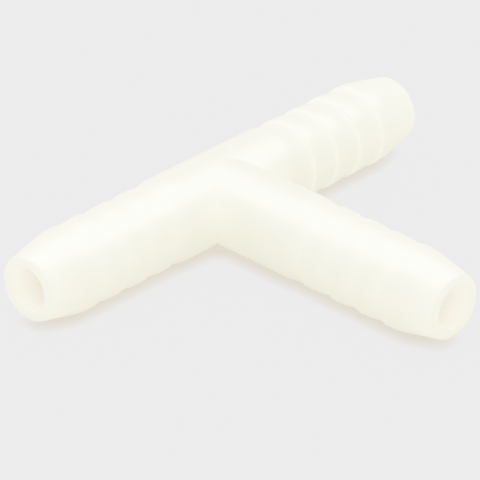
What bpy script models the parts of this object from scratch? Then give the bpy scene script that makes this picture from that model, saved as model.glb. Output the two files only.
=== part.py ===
"""Barbed tee connector: a one-piece moulded fitting that joins three hoses.

Frame: +X runs along the run, the branch points along -Y and +Z is up. The fitting lies flat,
so its three arms share one level plane, and the origin is on the resting plane under the
middle of its bounding box.
"""

import math

import bmesh
import bpy
from mathutils import Matrix, Vector

MM = 0.001

# Lengths, from the point where the axes of the run and the branch cross.
RUN_HALF_LENGTH = 39.6 * MM
BRANCH_LENGTH = 47.0 * MM

# The barbed arms. Every length here is measured back from an arm's end face.
BARB_COUNT = 4
BARB_RADIUS = 6.5 * MM
BARB_PITCH = 5.15 * MM
BARB_DEPTH = 0.45 * MM
CREST_LAND = 1.85 * MM
BARB_BACK = 0.35 * MM
NOSE_LENGTH = 7.15 * MM
NOSE_RADIUS = 5.0 * MM
TIP_CHAMFER = 0.35 * MM
HUB_START = 28.6 * MM

# The smooth middle. The branch is a little slimmer than the run, so it meets it in one ring.
RUN_HUB_RADIUS = 6.65 * MM
BRANCH_HUB_RADIUS = 6.55 * MM
BLEND_RADIUS = 0.12 * MM

# The waterway. Each bore narrows slightly towards the middle.
MOUTH_RADIUS = 3.3 * MM
RUN_BORE_RADIUS = 3.15 * MM
BRANCH_BORE_RADIUS = 3.1 * MM
MOUTH_CHAMFER = 0.25 * MM

# How far a cutter runs past a face, and how deep a joined shape is buried in its neighbour.
OVERRUN = 0.5 * MM
BURIED_EDGE = 0.05 * MM
BURIED_ROOT = 1.0 * MM

# Facets.
SEGMENTS = 48
BLEND_STEPS = 4
MERGE_DISTANCE = 0.001 * MM

# The point where the axes cross, once the fitting lies flat about the origin.
CROSSING = Vector((0.0, (BRANCH_LENGTH - RUN_HUB_RADIUS) / 2, RUN_HUB_RADIUS))

# A turned shape stands on local +Z, and these lay it along +X and along -Y.
ALONG_RUN = Matrix.Rotation(math.radians(90), 4, "Y")
ALONG_BRANCH = Matrix.Rotation(math.radians(90), 4, "X")

NATURAL_POLYMER = (0.86, 0.84, 0.76, 1.0)
SATIN_ROUGHNESS = 0.35


def clear_scene():
    for scene_object in list(bpy.data.objects):
        bpy.data.objects.remove(scene_object, do_unlink=True)


def add_collection(name):
    collection = bpy.data.collections.new(name)
    bpy.context.scene.collection.children.link(collection)
    return collection


def natural_polymer():
    """Undyed moulded polymer: milky, slightly warm and softly glossy."""
    material = bpy.data.materials.new("natural_polymer")
    material.use_nodes = True
    shader = material.node_tree.nodes["Principled BSDF"]
    shader.inputs["Base Color"].default_value = NATURAL_POLYMER
    shader.inputs["Roughness"].default_value = SATIN_ROUGHNESS
    shader.inputs["Metallic"].default_value = 0.0
    material.diffuse_color = NATURAL_POLYMER
    return material


def barbed_outline(length, hub_radius):
    """(radius, height) points from the middle of an arm's end face to its smooth hub."""
    outline = [
        (0.0, length),
        (NOSE_RADIUS - TIP_CHAMFER, length),
        (NOSE_RADIUS, length - TIP_CHAMFER),
    ]
    for barb in range(BARB_COUNT):
        crest = length - NOSE_LENGTH - barb * BARB_PITCH
        outline.append((BARB_RADIUS, crest))
        outline.append((BARB_RADIUS, crest - CREST_LAND))
        outline.append((BARB_RADIUS - BARB_DEPTH, crest - CREST_LAND - BARB_BACK))
    outline.append((hub_radius, length - HUB_START))
    return outline


def bore_outline(length, inner_radius):
    """(radius, height) points of a bore cutter from outside its mouth to the crossing."""
    flare = MOUTH_RADIUS + MOUTH_CHAMFER + OVERRUN
    return [
        (0.0, length + OVERRUN),
        (flare, length + OVERRUN),
        (MOUTH_RADIUS, length - MOUTH_CHAMFER),
        (inner_radius, 0.0),
    ]


def both_ways(outline):
    """Continue an outline through the crossing as its own mirror image."""
    mirrored = [(radius, -height) for radius, height in reversed(outline)]
    return outline + [point for point in mirrored if point not in outline]


def down_to_axis(outline, radius):
    """Close an outline with a flat end at the crossing."""
    return outline + [(radius, 0.0), (0.0, 0.0)]


def turned(name, outline, direction, collection):
    """A solid of revolution: the outline turned about local Z, laid in the given direction."""
    mesh = bpy.data.meshes.new(name)
    points = [(radius, 0.0, height) for radius, height in outline]
    mesh.from_pydata(points, [(i, i + 1) for i in range(len(points) - 1)], [])
    solid = bpy.data.objects.new(name, mesh)
    collection.objects.link(solid)
    solid.matrix_world = Matrix.Translation(CROSSING) @ direction
    screw = solid.modifiers.new("turn", "SCREW")
    screw.steps = SEGMENTS
    screw.render_steps = SEGMENTS
    screw.use_merge_vertices = True
    screw.merge_threshold = MERGE_DISTANCE
    screw.use_smooth_shade = True
    return solid


def blend_section(angle):
    """One section of the blend, as points about the crossing.

    A ball of the blend's radius rolls round the branch, touching both it and the run. The
    section is the ball's arc between its two touching points, closed by a buried root.
    """
    run_reach = RUN_HUB_RADIUS + BLEND_RADIUS
    branch_reach = BRANCH_HUB_RADIUS + BLEND_RADIUS
    across = math.cos(angle)
    up = math.sin(angle)
    depth = math.sqrt(run_reach ** 2 - (branch_reach * up) ** 2)
    ball = Vector((branch_reach * across, -depth, branch_reach * up))
    run_scale = RUN_HUB_RADIUS / run_reach
    on_run = Vector((ball.x, ball.y * run_scale, ball.z * run_scale))
    on_branch = Vector((BRANCH_HUB_RADIUS * across, ball.y, BRANCH_HUB_RADIUS * up))
    start = (on_run - ball).normalized()
    end = (on_branch - ball).normalized()
    turns = [start.slerp(end, step / BLEND_STEPS) for step in range(1, BLEND_STEPS)]
    arc = [ball + turn * BLEND_RADIUS for turn in turns]
    run_edge = on_run - Vector((0.0, on_run.y, on_run.z)).normalized() * BURIED_EDGE
    branch_edge = on_branch - Vector((across, 0.0, up)) * BURIED_EDGE
    crease = math.sqrt(RUN_HUB_RADIUS ** 2 - (BRANCH_HUB_RADIUS * up) ** 2)
    root_radius = BRANCH_HUB_RADIUS - BURIED_ROOT
    root = Vector((root_radius * across, BURIED_ROOT - crease, root_radius * up))
    return [run_edge, *arc, branch_edge, root]


def saddle_blend(collection):
    """The rounded inner corner where the branch meets the run, as a closed ring."""
    mesh_data = bmesh.new()
    rings = []
    for step in range(SEGMENTS):
        angle = 2 * math.pi * (step + 0.5) / SEGMENTS
        rings.append([mesh_data.verts.new(point) for point in blend_section(angle)])
    for here, ahead in zip(rings, rings[1:] + rings[:1]):
        for low in range(len(here)):
            high = (low + 1) % len(here)
            mesh_data.faces.new((here[low], here[high], ahead[high], ahead[low]))
    bmesh.ops.recalc_face_normals(mesh_data, faces=mesh_data.faces)
    mesh = bpy.data.meshes.new("saddle_blend")
    mesh_data.to_mesh(mesh)
    mesh_data.free()
    mesh.shade_smooth()
    blend = bpy.data.objects.new("saddle_blend", mesh)
    blend.location = CROSSING
    collection.objects.link(blend)
    return blend


def combine(target, operation, tool):
    """Join a hidden shape to the target, or cut it away."""
    tool.hide_render = True
    tool.display_type = "WIRE"
    boolean = target.modifiers.new(f"{operation.lower()}_{tool.name}", "BOOLEAN")
    boolean.operation = operation
    boolean.object = tool
    boolean.solver = "EXACT"


def tee_body(parts, helpers):
    """The whole fitting: run, branch and their blend joined, then bored through."""
    run = both_ways(barbed_outline(RUN_HALF_LENGTH, RUN_HUB_RADIUS))
    branch = down_to_axis(barbed_outline(BRANCH_LENGTH, BRANCH_HUB_RADIUS), BRANCH_HUB_RADIUS)
    run_bore = both_ways(bore_outline(RUN_HALF_LENGTH, RUN_BORE_RADIUS))
    branch_bore = bore_outline(BRANCH_LENGTH, BRANCH_BORE_RADIUS) + [(0.0, 0.0)]

    body = turned("tee_body", run, ALONG_RUN, parts)
    body.data.materials.append(natural_polymer())
    combine(body, "UNION", turned("branch_arm", branch, ALONG_BRANCH, helpers))
    combine(body, "UNION", saddle_blend(helpers))
    combine(body, "DIFFERENCE", turned("run_bore", run_bore, ALONG_RUN, helpers))
    combine(body, "DIFFERENCE", turned("branch_bore", branch_bore, ALONG_BRANCH, helpers))
    return body


def main():
    clear_scene()
    parts = add_collection("barbed_tee_connector")
    helpers = add_collection("cutters")
    tee_body(parts, helpers)


main()
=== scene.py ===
"""Looks of the barbed tee connector: one finely moulded body in milky natural polymer.

The body is a single closed surface. Rings of points run from the crossing out along each arm,
over its rounded barbs, round the lip of its mouth and back along the bore to the crossing.
Places are measured from the point where the axes cross: x along the run, y against the branch
and z up.
"""

import math

import bmesh
import bpy
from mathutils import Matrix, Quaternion, Vector


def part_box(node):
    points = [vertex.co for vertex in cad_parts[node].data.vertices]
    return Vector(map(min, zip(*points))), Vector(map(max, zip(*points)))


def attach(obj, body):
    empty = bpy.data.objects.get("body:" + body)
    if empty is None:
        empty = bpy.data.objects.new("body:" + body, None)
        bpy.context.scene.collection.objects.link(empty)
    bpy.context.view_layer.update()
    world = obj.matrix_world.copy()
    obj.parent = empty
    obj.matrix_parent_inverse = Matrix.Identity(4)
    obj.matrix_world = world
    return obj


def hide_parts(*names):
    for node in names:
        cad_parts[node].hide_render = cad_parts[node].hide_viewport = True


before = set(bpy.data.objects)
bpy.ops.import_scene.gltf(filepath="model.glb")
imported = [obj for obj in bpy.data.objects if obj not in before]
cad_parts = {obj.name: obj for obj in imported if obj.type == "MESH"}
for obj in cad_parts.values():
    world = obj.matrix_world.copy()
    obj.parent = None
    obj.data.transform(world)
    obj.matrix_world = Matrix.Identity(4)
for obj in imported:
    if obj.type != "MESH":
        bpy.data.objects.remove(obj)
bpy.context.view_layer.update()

MM = 0.001
NODE = "tee_body"

# The frame gives the overall sizes and the place where the axes cross.
LOW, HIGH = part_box(NODE)
RUN_HUB_RADIUS = (HIGH.z - LOW.z) / 2
RUN_HALF_LENGTH = (HIGH.x - LOW.x) / 2
BRANCH_LENGTH = HIGH.y - LOW.y - RUN_HUB_RADIUS
CROSSING = Vector(((LOW.x + HIGH.x) / 2, HIGH.y - RUN_HUB_RADIUS, LOW.z + RUN_HUB_RADIUS))

# The barbed arms, measured back from an arm's end face.
BARB_COUNT = 4
BARB_RADIUS = 6.5 * MM
BARB_PITCH = 5.15 * MM
BARB_DEPTH = 0.45 * MM
CREST_LAND = 1.85 * MM
BARB_BACK = 0.35 * MM
NOSE_LENGTH = 7.15 * MM
NOSE_RADIUS = 5.0 * MM
HUB_START = 28.6 * MM

# The radii of an arm's edges and bends, in section.
TIP_ROUND = 0.4 * MM
CREST_ENTRY_ROUND = 12.0 * MM
CREST_BACK_ROUND = 0.1 * MM
ROOT_ROUND = 0.1 * MM
HUB_ROUND = 4.0 * MM
MOUTH_ROUND = 0.3 * MM

# The smooth middle and the waterway through it.
BRANCH_HUB_RADIUS = 6.55 * MM
BLEND_RADIUS = 0.12 * MM
MOUTH_RADIUS = 3.3 * MM
RUN_BORE_RADIUS = 3.15 * MM
BORE_CORNER_RADIUS = 0.25 * MM

# How far from the crossing an arm's own rings start on the skin and end in the bore.
HUB_REACH = 10.0 * MM
BORE_REACH = 4.5 * MM

# The branch is slimmer than the run in the same ratio outside and inside, so that the rings
# of the outer skin and of the waterway have the same angles.
SLIMNESS = (BRANCH_HUB_RADIUS + BLEND_RADIUS) / (RUN_HUB_RADIUS + BLEND_RADIUS)
BRANCH_BORE_RADIUS = SLIMNESS * (RUN_BORE_RADIUS + BORE_CORNER_RADIUS) - BORE_CORNER_RADIUS

# The witness line where the two mould halves met, in the level plane. It is only on the outer
# skin, which lies everywhere beyond a radius inside the wall.
FLASH_HEIGHT = 0.03 * MM
FLASH_HALF_ANGLE = math.radians(0.9)
WALL_RADIUS = 4.9 * MM

# The polymer's colour drifts in soft clouds between two tints.
IVORY = (0.90, 0.86, 0.63, 1.0)
CREAM = (0.89, 0.84, 0.59, 1.0)
CLOUD_SIZE = 9.0 * MM
CLOUD_DETAIL = 3.0

# Inside a mouth the colour is painted paler: painted light that stands in for daylight coming
# through the wall from outside. The painted light is full at about the pale depth, and fades out
# within the bore's skin.
BORE_PAINTED_LIGHT = (0.88, 0.90, 0.80, 1.0)
PALE_DEPTH = 5.0 * MM
BORE_SKIN = 0.3 * MM

# Light spreads under the surface, and red travels further than green and blue.
GLOW_DEPTH = 9.0 * MM
GLOW_COLOUR = (1.0, 0.7, 0.7)
POLYMER_IOR = 1.52

# Its gloss varies in patches. Shrinkage left slow waves, and the mould a fine grain.
ROUGHNESS_RANGE = (0.32, 0.42)
GLOSS_SIZE = 4.0 * MM
GLOSS_DETAIL = 4.0
WAVE_SIZE = 7.0 * MM
WAVE_DEPTH = 0.06 * MM
WAVE_DETAIL = 1.0
GRAIN_SIZE = 0.25 * MM
GRAIN_DEPTH = 0.004 * MM
GRAIN_DETAIL = 2.0

# The part of a noise's values that is stretched over a whole range.
NOISE_MIDDLE = (0.3, 0.7)

# The floor's paper shines by itself, with a painted shadow: its glow is less and warmer where the
# fitting touches it. The painted shadow is full at the first openness of its range and gone at the
# second.
FLOOR_HALF_WIDTH = 4.0
FLOOR_SEGMENTS = 8
PAPER_SHADE = (0.02, 0.02, 0.02, 1.0)
PAPER_GLOW = (0.598, 0.598, 0.598, 1.0)
PAINTED_CONTACT_SHADOW = (0.47, 0.41, 0.31, 1.0)
CONTACT_REACH = 2.5 * MM
CONTACT_RANGE = (0.15, 0.75)

# The lights. The softbox only adds gloss, and its warm tint keeps that gloss ivory.
SKY_LIGHT = 0.96
SKY_COLOUR = (0.95, 1.0, 1.0, 1.0)
SOFTBOX_HEIGHT = 300.0 * MM
SOFTBOX_BEHIND = 90.0 * MM
SOFTBOX_WIDTH = 660.0 * MM
SOFTBOX_DEPTH = 300.0 * MM
SOFTBOX_LIGHT = 11.5
SOFTBOX_COLOUR = (1.0, 1.0, 0.65)

# How the picture takes light: an exposure so long that bright tones roll off towards white.
FILM_SPEED = 2.95
FILM_WHITE = 4.0
FILM_STEPS = 12
LIGHT_BOUNCES = 32

# The curve that red, green and blue share comes after their own three.
SHARED_CURVE = 3

# The camera. Its aim is a point beside the crossing, as seen from the camera.
VIEW_AZIMUTH = math.radians(-47.034)
VIEW_ELEVATION = math.radians(29.14)
VIEW_ROLL = math.radians(1.164)
VIEW_DISTANCE = 646.2 * MM
LENS = 323.5
SENSOR_WIDTH = 36.0
AIM_RIGHT = 3.5 * MM
AIM_UP = -6.766 * MM

# Steps of the mesh, and how near the level plane a point has to be to count as in it.
QUARTER_STEPS = 26
BACK_STEPS = 54
ROUND_STEPS = 5
BLEND_STEPS = 8
FILL_STEP = 0.7 * MM
HUB_ROWS = 14
TOLERANCE = 0.0001 * MM


def arc(centre, start, end, radius, steps):
    """Points on an arc about a centre, from the direction of start to that of end."""
    first = (start - centre).normalized()
    last = (end - centre).normalized()
    return [centre + first.slerp(last, step / steps) * radius for step in range(steps + 1)]


def rounded(outline):
    """The points of an (along, radius, round) outline, with each corner replaced by its arc."""
    points = [Vector(outline[0][:2])]
    for before, corner, after in zip(outline, outline[1:], outline[2:]):
        here = Vector(corner[:2])
        entering = (Vector(before[:2]) - here).normalized()
        leaving = (Vector(after[:2]) - here).normalized()
        half_turn = (math.pi - entering.angle(leaving)) / 2
        reach = corner[2] * math.tan(half_turn)
        centre = here + (entering + leaving).normalized() * corner[2] / math.cos(half_turn)
        start = here + entering * reach
        end = here + leaving * reach
        points.extend(arc(centre, start, end, corner[2], ROUND_STEPS))
    points.append(Vector(outline[-1][:2]))
    return points


def evenly_filled(points, spacing):
    """Divide the long stretches of an outline into steps of about the given spacing."""
    filled = [points[0]]
    for here, ahead in zip(points, points[1:]):
        steps = math.ceil((ahead - here).length / spacing)
        filled.extend(here.lerp(ahead, step / steps) for step in range(1, steps + 1))
    return filled


def arm_outline(length, hub_radius, bore_radius):
    """One arm in section, from its smooth hub over the barbs and the lip into the bore."""
    outline = [(HUB_REACH, hub_radius, 0.0), (length - HUB_START, hub_radius, HUB_ROUND)]
    for barb in reversed(range(BARB_COUNT)):
        crest = length - NOSE_LENGTH - barb * BARB_PITCH
        back = crest - CREST_LAND
        outline.append((back - BARB_BACK, BARB_RADIUS - BARB_DEPTH, ROOT_ROUND))
        outline.append((back, BARB_RADIUS, CREST_BACK_ROUND))
        outline.append((crest, BARB_RADIUS, CREST_ENTRY_ROUND))
    outline.append((length, NOSE_RADIUS, TIP_ROUND))
    outline.append((length, MOUTH_RADIUS, MOUTH_ROUND))
    outline.append((BORE_REACH, bore_radius, 0.0))
    return evenly_filled(rounded(outline), FILL_STEP)


def side_angles():
    """Angles round one side of the branch, from straight down over the level plane to the top."""
    even = [math.pi / 2 * step / QUARTER_STEPS for step in range(QUARTER_STEPS + 1)]
    upper = sorted(even + [FLASH_HALF_ANGLE])
    return [-angle for angle in reversed(upper[1:])] + upper


def back_angles():
    """Angles round the back of the run, between the top and the bottom of the branch's ring."""
    top = math.asin(SLIMNESS)
    width = 2 * (math.pi - top)
    even = [top + width * step / BACK_STEPS for step in range(1, BACK_STEPS)]
    return sorted(even + [math.pi - FLASH_HALF_ANGLE, math.pi + FLASH_HALF_ANGLE])


SIDE_ANGLES = side_angles()
BRANCH_ANGLES = SIDE_ANGLES + [math.pi - angle for angle in reversed(SIDE_ANGLES[1:-1])]
FRONT_ANGLES = [math.asin(SLIMNESS * math.sin(angle)) for angle in SIDE_ANGLES]
RUN_ANGLES = FRONT_ANGLES + back_angles()


def on_run(along, radius, angle):
    """A point about the run. Angle 0 faces the branch and a right angle is the top."""
    return Vector((along, -radius * math.cos(angle), radius * math.sin(angle)))


def on_left_run(along, radius, angle):
    """The same point on the run's other arm."""
    return on_run(-along, radius, angle)


def on_branch(along, radius, angle):
    """A point about the branch, which runs towards -y. Angle 0 faces +x."""
    return Vector((radius * math.cos(angle), -along, radius * math.sin(angle)))


def blend_arc(angle, run_radius, branch_radius, round_radius):
    """The arc of a ball that rolls in the corner between run and branch, touching both."""
    reach = run_radius + round_radius
    rolling = branch_radius + round_radius
    depth = math.sqrt(reach ** 2 - (rolling * math.sin(angle)) ** 2)
    ball = on_branch(depth, rolling, angle)
    shrink = run_radius / reach
    start = Vector((ball.x, ball.y * shrink, ball.z * shrink))
    end = on_branch(depth, branch_radius, angle)
    return arc(ball, start, end, round_radius, BLEND_STEPS)


def crossing_rings(mesh, run_radius, branch_radius, round_radius):
    """The rings where three pipes meet: the right arm's, the left arm's and the branch's.

    The foot of the branch's blend goes from the bottom over the right side to the top and back
    over the left side. Each arm of the run shares one side of it, and both share the seam that
    closes their rings round the back.
    """
    arcs = [blend_arc(a, run_radius, branch_radius, round_radius) for a in BRANCH_ANGLES]
    rings = [[mesh.verts.new(point) for point in ring] for ring in zip(*arcs)]
    seam = [mesh.verts.new(on_run(0.0, run_radius, angle)) for angle in back_angles()]
    foot = rings[0]
    top = len(SIDE_ANGLES) - 1
    right = foot[:top + 1] + seam
    left = foot[:1] + foot[top:][::-1] + seam
    return right, left, rings


def bands(mesh, rings):
    """Join each closed ring to the next one by a band of faces."""
    for low, high in zip(rings, rings[1:]):
        for step in range(len(low)):
            ahead = (step + 1) % len(low)
            mesh.faces.new((low[step], low[ahead], high[ahead], high[step]))


def between(mesh, first, last):
    """Rings that fill the space between two rings evenly."""
    rings = []
    for row in range(1, HUB_ROWS):
        share = row / HUB_ROWS
        ring = [mesh.verts.new(a.co.lerp(b.co, share)) for a, b in zip(first, last)]
        rings.append(ring)
    return rings


def arm(mesh, outer, inner, outline, place, angles):
    """The skin of one arm, from its ring on the outer crossing to that on the inner one."""
    rows = []
    for along, radius in outline:
        rows.append([mesh.verts.new(place(along, radius, angle)) for angle in angles])
    outside = between(mesh, outer, rows[0])
    inside = between(mesh, rows[-1], inner)
    bands(mesh, [outer, *outside, *rows, *inside, inner])


def tee_mesh():
    """The closed surface of the whole fitting."""
    mesh = bmesh.new()
    outer_sizes = (RUN_HUB_RADIUS, BRANCH_HUB_RADIUS, BLEND_RADIUS)
    inner_sizes = (RUN_BORE_RADIUS, BRANCH_BORE_RADIUS, BORE_CORNER_RADIUS)
    outer_right, outer_left, outer_blend = crossing_rings(mesh, *outer_sizes)
    inner_right, inner_left, inner_blend = crossing_rings(mesh, *inner_sizes)
    bands(mesh, outer_blend)
    bands(mesh, inner_blend)

    run = arm_outline(RUN_HALF_LENGTH, RUN_HUB_RADIUS, RUN_BORE_RADIUS)
    branch = arm_outline(BRANCH_LENGTH, BRANCH_HUB_RADIUS, BRANCH_BORE_RADIUS)
    arm(mesh, outer_right, inner_right, run, on_run, RUN_ANGLES)
    arm(mesh, outer_left, inner_left, run, on_left_run, RUN_ANGLES)
    arm(mesh, outer_blend[-1], inner_blend[-1], branch, on_branch, BRANCH_ANGLES)
    bmesh.ops.recalc_face_normals(mesh, faces=mesh.faces)
    return mesh


def raise_witness_line(mesh):
    """Lift the outer skin by a hair in the level plane, where the two mould halves met."""
    mesh.normal_update()
    for vertex in mesh.verts:
        x, y, z = vertex.co
        outside = y > WALL_RADIUS or min(abs(x), abs(y)) > WALL_RADIUS
        if outside and abs(z) < TOLERANCE:
            vertex.co += vertex.normal * FLASH_HEIGHT


def tee_piece(material):
    """The body as one object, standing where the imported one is."""
    mesh = tee_mesh()
    raise_witness_line(mesh)
    data = bpy.data.meshes.new("moulded_tee")
    mesh.to_mesh(data)
    mesh.free()
    data.shade_smooth()
    data.materials.append(material)
    piece = bpy.data.objects.new("moulded_tee", data)
    piece.location = CROSSING
    bpy.context.scene.collection.objects.link(piece)
    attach(piece, "root")
    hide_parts(NODE)


def add_node(tree, kind, **values):
    """A node with some of its sockets set by name."""
    node = tree.nodes.new(kind)
    for name, value in values.items():
        node.inputs[name.replace("_", " ")].default_value = value
    return node


def noise(tree, place, size, detail):
    """Noise whose lumps are about the given size in metres."""
    node = add_node(tree, "ShaderNodeTexNoise", Scale=1 / size, Detail=detail)
    tree.links.new(place, node.inputs["Vector"])
    return node.outputs["Fac"]


def mapped(tree, source, start, end, low, high):
    """Map a source's stretch from start to end onto the one from low to high."""
    node = add_node(tree, "ShaderNodeMapRange", From_Min=start, From_Max=end, To_Min=low, To_Max=high)
    tree.links.new(source, node.inputs["Value"])
    return node.outputs["Result"]


def bumped(tree, height, distance, under=None):
    """A bump of the given depth in metres, on top of another one."""
    node = add_node(tree, "ShaderNodeBump", Strength=1.0, Distance=distance)
    tree.links.new(height, node.inputs["Height"])
    if under is not None:
        tree.links.new(under, node.inputs["Normal"])
    return node.outputs["Normal"]


def combined_length(tree, place, operation, constant):
    """The length of a place's vector, after it was combined with a constant one."""
    combined = tree.nodes.new("ShaderNodeVectorMath")
    combined.operation = operation
    combined.inputs[1].default_value = constant
    tree.links.new(place, combined.inputs[0])
    length = tree.nodes.new("ShaderNodeVectorMath")
    length.operation = "LENGTH"
    tree.links.new(combined.outputs["Vector"], length.inputs[0])
    return length.outputs["Value"]


def math_of(tree, operation, first, second):
    """Two sources joined by a math operation."""
    node = tree.nodes.new("ShaderNodeMath")
    node.operation = operation
    tree.links.new(first, node.inputs[0])
    tree.links.new(second, node.inputs[1])
    return node.outputs["Value"]


def blended(tree, share):
    """A mix of two colours by a linked share. The caller sets or links its A and B."""
    node = tree.nodes.new("ShaderNodeMix")
    node.data_type = "RGBA"
    tree.links.new(share, node.inputs["Factor"])
    return node


def inside_mouth(tree, place):
    """How far a point lies inside the waterway: 0 on the outer skin and at the mouths, 1 deep in."""
    # Without x, a place's length is the distance from the run's axis.
    from_run = combined_length(tree, place, "MULTIPLY", (0.0, 1.0, 1.0))
    # With y raised to 0, which it is below all along the branch, the length is the distance
    # from the branch's axis. No x or z is as low as a metre down, so both stay.
    from_branch = combined_length(tree, place, "MAXIMUM", (-1.0, 0.0, -1.0))
    nearest = math_of(tree, "MINIMUM", from_run, from_branch)
    wall = mapped(tree, nearest, MOUTH_RADIUS, MOUTH_RADIUS + BORE_SKIN, 1.0, 0.0)

    # The way out is 0 at the crossing and 1 at each mouth.
    whole_way = (1 / RUN_HALF_LENGTH, 1 / BRANCH_LENGTH, 0.0)
    way_out = combined_length(tree, place, "MULTIPLY", whole_way)
    depth = mapped(tree, way_out, 1 - PALE_DEPTH / BRANCH_LENGTH, 1.0, 1.0, 0.0)
    return math_of(tree, "MULTIPLY", wall, depth)


def polymer_colour(tree, place):
    """Clouds of two tints, with painted light that makes them paler inside the mouths."""
    lumps = mapped(tree, noise(tree, place, CLOUD_SIZE, CLOUD_DETAIL), *NOISE_MIDDLE, 0.0, 1.0)
    cloud = blended(tree, lumps)
    cloud.inputs["A"].default_value = IVORY
    cloud.inputs["B"].default_value = CREAM
    # Painted light: deep in the mouths the colour turns paler, in place of daylight through the wall.
    tint = blended(tree, inside_mouth(tree, place))
    tree.links.new(cloud.outputs["Result"], tint.inputs["A"])
    tint.inputs["B"].default_value = BORE_PAINTED_LIGHT
    return tint.outputs["Result"]


def polymer_surface(tree, place):
    """Slow waves from shrinkage, with the fine grain of the mould on top."""
    waves = bumped(tree, noise(tree, place, WAVE_SIZE, WAVE_DETAIL), WAVE_DEPTH)
    return bumped(tree, noise(tree, place, GRAIN_SIZE, GRAIN_DETAIL), GRAIN_DEPTH, waves)


def milky_polymer():
    """Undyed polymer: milky and faintly cloudy, lit from within, with a soft satin gloss."""
    material = bpy.data.materials.new("milky_polymer")
    material.use_nodes = True
    tree = material.node_tree
    shader = tree.nodes["Principled BSDF"]
    place = tree.nodes.new("ShaderNodeTexCoord").outputs["Object"]
    patches = noise(tree, place, GLOSS_SIZE, GLOSS_DETAIL)
    gloss = mapped(tree, patches, *NOISE_MIDDLE, *ROUGHNESS_RANGE)
    tree.links.new(polymer_colour(tree, place), shader.inputs["Base Color"])
    tree.links.new(gloss, shader.inputs["Roughness"])
    tree.links.new(polymer_surface(tree, place), shader.inputs["Normal"])
    shader.subsurface_method = "BURLEY"
    shader.inputs["Subsurface Weight"].default_value = 1.0
    shader.inputs["Subsurface Radius"].default_value = GLOW_COLOUR
    shader.inputs["Subsurface Scale"].default_value = GLOW_DEPTH
    shader.inputs["IOR"].default_value = POLYMER_IOR
    return material


def paper():
    """The floor: pale paper, mostly its own even light, with a thin warm painted shadow at the
    contact.
    """
    material = bpy.data.materials.new("pale_paper")
    material.use_nodes = True
    tree = material.node_tree
    tree.nodes.remove(tree.nodes["Principled BSDF"])
    diffuse = add_node(tree, "ShaderNodeBsdfDiffuse", Color=PAPER_SHADE)

    # Painted shadow: where the fitting shuts the paper in, its glow turns darker and warmer.
    openness = add_node(tree, "ShaderNodeAmbientOcclusion", Distance=CONTACT_REACH).outputs["AO"]
    tint = blended(tree, mapped(tree, openness, *CONTACT_RANGE, 0.0, 1.0))
    tint.inputs["A"].default_value = PAINTED_CONTACT_SHADOW
    tint.inputs["B"].default_value = PAPER_GLOW
    glow = tree.nodes.new("ShaderNodeEmission")
    tree.links.new(tint.outputs["Result"], glow.inputs["Color"])

    both = tree.nodes.new("ShaderNodeAddShader")
    tree.links.new(diffuse.outputs["BSDF"], both.inputs[0])
    tree.links.new(glow.outputs["Emission"], both.inputs[1])
    tree.links.new(both.outputs["Shader"], tree.nodes["Material Output"].inputs["Surface"])
    return material


def floor():
    """A wide level sheet of paper under the fitting."""
    mesh = bmesh.new()
    bmesh.ops.create_grid(
        mesh,
        x_segments=FLOOR_SEGMENTS,
        y_segments=FLOOR_SEGMENTS,
        size=FLOOR_HALF_WIDTH,
    )
    data = bpy.data.meshes.new("floor")
    mesh.to_mesh(data)
    mesh.free()
    data.materials.append(paper())
    sheet = bpy.data.objects.new("floor", data)
    sheet.location = (CROSSING.x, CROSSING.y, LOW.z)
    bpy.context.scene.collection.objects.link(sheet)


def sky():
    """Even, slightly cool light from all round."""
    world = bpy.data.worlds.new("studio")
    world.use_nodes = True
    backdrop = world.node_tree.nodes["Background"]
    backdrop.inputs["Color"].default_value = SKY_COLOUR
    backdrop.inputs["Strength"].default_value = SKY_LIGHT
    bpy.context.scene.world = world


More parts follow.
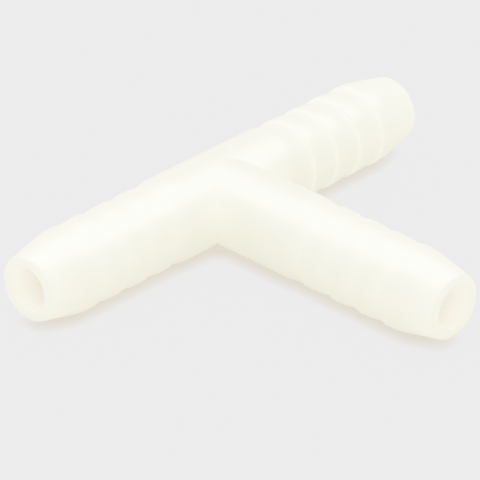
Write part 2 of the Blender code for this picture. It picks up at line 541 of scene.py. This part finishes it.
def softbox():
    """A long softbox above the fitting, square to the camera and a little behind."""
    light = bpy.data.lights.new("softbox", "AREA")
    light.shape = "RECTANGLE"
    light.size = SOFTBOX_WIDTH
    light.size_y = SOFTBOX_DEPTH
    # An area light's power is its brightness times pi times its area.
    light.energy = SOFTBOX_LIGHT * math.pi * SOFTBOX_WIDTH * SOFTBOX_DEPTH
    light.color = SOFTBOX_COLOUR
    box = bpy.data.objects.new("softbox", light)
    away = Vector((-math.sin(VIEW_AZIMUTH), math.cos(VIEW_AZIMUTH), 0.0))
    box.location = CROSSING + away * SOFTBOX_BEHIND + Vector((0.0, 0.0, SOFTBOX_HEIGHT))
    box.rotation_euler.z = VIEW_AZIMUTH
    box.visible_diffuse = False
    bpy.context.scene.collection.objects.link(box)


def camera():
    """The camera looks down on the crossing, past the left arm and the branch."""
    flat = math.cos(VIEW_ELEVATION)
    back = Vector((
        math.sin(VIEW_AZIMUTH) * flat,
        -math.cos(VIEW_AZIMUTH) * flat,
        math.sin(VIEW_ELEVATION),
    ))
    roll = Quaternion((0.0, 0.0, 1.0), VIEW_ROLL)
    square_on = back.to_track_quat("Z", "Y") @ roll
    data = bpy.data.cameras.new("camera")
    data.sensor_width = SENSOR_WIDTH
    data.lens = LENS
    viewer = bpy.data.objects.new("camera", data)
    viewer.location = CROSSING + back * VIEW_DISTANCE
    aim = CROSSING + square_on @ Vector((AIM_RIGHT, AIM_UP, 0.0))
    viewer.rotation_euler = ((viewer.location - aim).to_track_quat("Z", "Y") @ roll).to_euler()
    bpy.context.scene.collection.objects.link(viewer)
    bpy.context.scene.camera = viewer


def film():
    """Bright tones crowd towards white, as in a long exposure of a pale thing on pale paper."""
    view = bpy.context.scene.view_settings
    view.view_transform = "Standard"
    view.use_curve_mapping = True
    view.curve_mapping.white_level = (FILM_WHITE, FILM_WHITE, FILM_WHITE)
    points = view.curve_mapping.curves[SHARED_CURVE].points
    for step in range(1, FILM_STEPS):
        # The square sets the points closer together in the dark, where the curve bends most.
        light = (step / FILM_STEPS) ** 2
        points.new(light, 1 - math.exp(-FILM_SPEED * FILM_WHITE * light))
    view.curve_mapping.update()
    bpy.context.scene.cycles.diffuse_bounces = LIGHT_BOUNCES
    bpy.context.scene.cycles.max_bounces = LIGHT_BOUNCES


tee_piece(milky_polymer())
floor()
sky()
softbox()
camera()
film()
